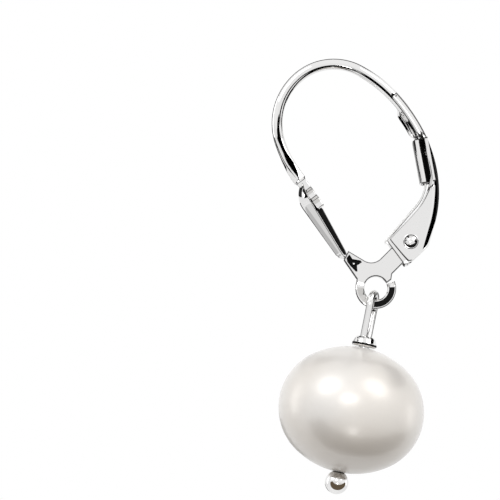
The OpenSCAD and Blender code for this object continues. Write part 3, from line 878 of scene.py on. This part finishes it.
studio = {
    "floorAt": -0.9, "floorSize": 15.0, "floorTone": 0.9, "world": 1.0, "away": 750.0,
    # cards shaped as patches of a globe, seen only in the reflections: name, glow, rows of (angle round the
    # camera's line from the right, first and last angle off that line), then distance and middles of near ones
    "patches": [
        ("frontSoft", 0.95, [(a, 0, 24) for a in range(0, 361, 15)]),
        ("keyLeft", 3.7, [(108, 50, 62), (114, 46, 70), (128, 44, 74), (142, 46, 70), (148, 52, 62)]),
        ("keyRight", 3.4, [(26, 52, 64), (32, 48, 74), (46, 46, 78), (60, 48, 74), (66, 54, 64)]),
        ("rimLeft", 2.5, [(150, 98, 108), (170, 96, 112), (188, 98, 108)]),
        ("rimRight", 2.5, [(340, 104, 110), (354, 100, 113), (368, 104, 110)]),
        ("topSpot", 7.5, [(70, 16, 23), (90, 14, 25), (112, 14, 25), (130, 16, 23)], 30.0, [(5.13, -22.8)]),
        ("lowSpot", 4.0, [(262, 28, 36), (270, 27, 37), (278, 28, 36)], 12.6, [(5.13, -22.8)]),
        ("hood", 0.03, [(-25, 103, 136), (8, 103, 136), (18, 118, 136), (26, 133, 136), (66, 133, 136),
                        (78, 103, 136), (195, 103, 136)], 12.0, [(3, -6)]),
        ("shellEdge", 0.0, [(198, 152, 170), (218, 149, 172), (240, 152, 170)]),
        ("shellGrey", 0.55, [(196, 104, 142), (218, 98, 146), (240, 104, 142)], 9.0, [(2.0, -10.6)]),
        ("shellPale", 0.78, [(196, 70, 106), (218, 62, 100), (240, 70, 106)], 9.2, [(2.0, -10.6)]),
        ("loopLine", 0.0, [(213, 30, 66), (216, 22, 62), (222, 12, 54), (227, 9, 46), (232, 9, 52),
                           (245, 10, 62), (256, 14, 62), (272, 22, 60), (288, 30, 69), (301, 40, 84),
                           (314, 50, 92), (325, 62, 110), (335, 74, 134)], 7.0,
         [(4.75, -1.93), (3.51, -0.93), (2.83, -0.52), (2.11, -0.17), (1.37, 0.12), (0.64, 0.32), (0, 0.38),
          (-0.79, 0.29), (-1.54, 0.04), (-2.22, -0.36), (-2.81, -0.9), (-3.26, -1.55), (-3.59, -2.26)]),
        ("footLine", 0.0, [(178, 24, 44), (176, 20, 40), (150, 11, 31), (110, 9, 29), (60, 18, 41), (50, 30, 50),
                           (44, 48, 70)], 7.0,
         [(-3.47, -5.35), (-3.1, -6.04), (-2.85, -6.4), (-2.66, -6.68), (-2.4, -7.0), (-2.17, -7.29),
          (-1.62, -7.85)]),
        ("outerLine", 0.0, [(188, 92, 112), (194, 80, 110), (195, 62, 96), (196, 40, 84), (203, 34, 94)], 7.0,
         [(-3.47, -5.35), (-3.1, -6.04), (-2.66, -6.68), (-2.17, -7.29), (-1.62, -7.85)]),
        ("rightFlag", 0.0, [(328, 60, 110), (340, 58, 145), (350, 62, 145), (360, 70, 145), (375, 96, 145),
                            (390, 114, 145), (400, 128, 145)], 14.0, [(6, -6)]),
        ("lowShade", (0.8, 0.78, 0.755), [(205, 24, 44), (240, 22, 42), (270, 22, 44), (300, 26, 52),
                                          (325, 40, 66)], 13.4, [(5.13, -22.8)]),
        ("lowFlag", (0.13, 0.1, 0.065), [(198, 42, 60), (212, 40, 68), (240, 38, 76), (270, 40, 80),
                                         (300, 48, 88), (323, 62, 94), (335, 76, 92)], 13.0, [(5.13, -22.8)]),
    ],
}


def plain(name, tone, glow=0.0):
    material = bpy.data.materials.new(name)
    material.use_nodes = True
    shader = material.node_tree.nodes["Principled BSDF"]
    shader.inputs["Base Color"].default_value = (tone, tone, tone, 1)
    shader.inputs["Roughness"].default_value = 1
    shader.inputs["Specular IOR Level"].default_value = 0
    if glow:
        tint = glow if isinstance(glow, tuple) else (glow, glow, glow)
        shader.inputs["Emission Color"].default_value = (*tint, 1)
        shader.inputs["Emission Strength"].default_value = 1
    return material


def makePatch(name, glow, rows, away, middles):
    rings, last = [], len(rows) - 1
    for i in range(last * 4 + 1):  # four steps from row to row
        j = min(i // 4, last - 1)
        t = i / 4 - j
        around, near, far = (mix(x, y, t) for x, y in zip(rows[j], rows[j + 1]))
        middle = middles[0] if len(middles) == 1 else middles[j].lerp(middles[j + 1], t)
        sideways = camRight * math.cos(math.radians(around)) + camUp * math.sin(math.radians(around))
        ring = []
        for k in range(13):
            off = math.radians(mix(near, far, k / 12))
            ring.append(middle + (back * math.cos(off) + sideways * math.sin(off)) * away * 0.001)
        rings.append(ring)
    card = sweep(name, rings, plain(name, 0.0, glow), 180, caps=False, ringClosed=False)
    card.visible_camera = False


for i, (name, glow, rows, *near) in enumerate(studio["patches"]):
    if near:
        away, middles = near[0], [stand(*p) for p in near[1]]
    else:
        away, middles = studio["away"] - 10 * i, [aim * 0.001]  # each nearer than the one before
    makePatch(name, glow, rows, away, middles)

half = studio["floorSize"]
floor = meshPiece("floor", [(-half, -half, studio["floorAt"]), (half, -half, studio["floorAt"]),
                            (half, half, studio["floorAt"]), (-half, half, studio["floorAt"])], [(0, 1, 2, 3)],
                  plain("paleFloor", studio["floorTone"]))
world = bpy.data.worlds.new("lightTent")
world.use_nodes = True
world.node_tree.nodes["Background"].inputs["Color"].default_value = (1, 1, 1, 1)
world.node_tree.nodes["Background"].inputs["Strength"].default_value = studio["world"]
bpy.context.scene.world = world
bpy.context.scene.view_settings.view_transform = "Standard"
print("camera and light tent set")
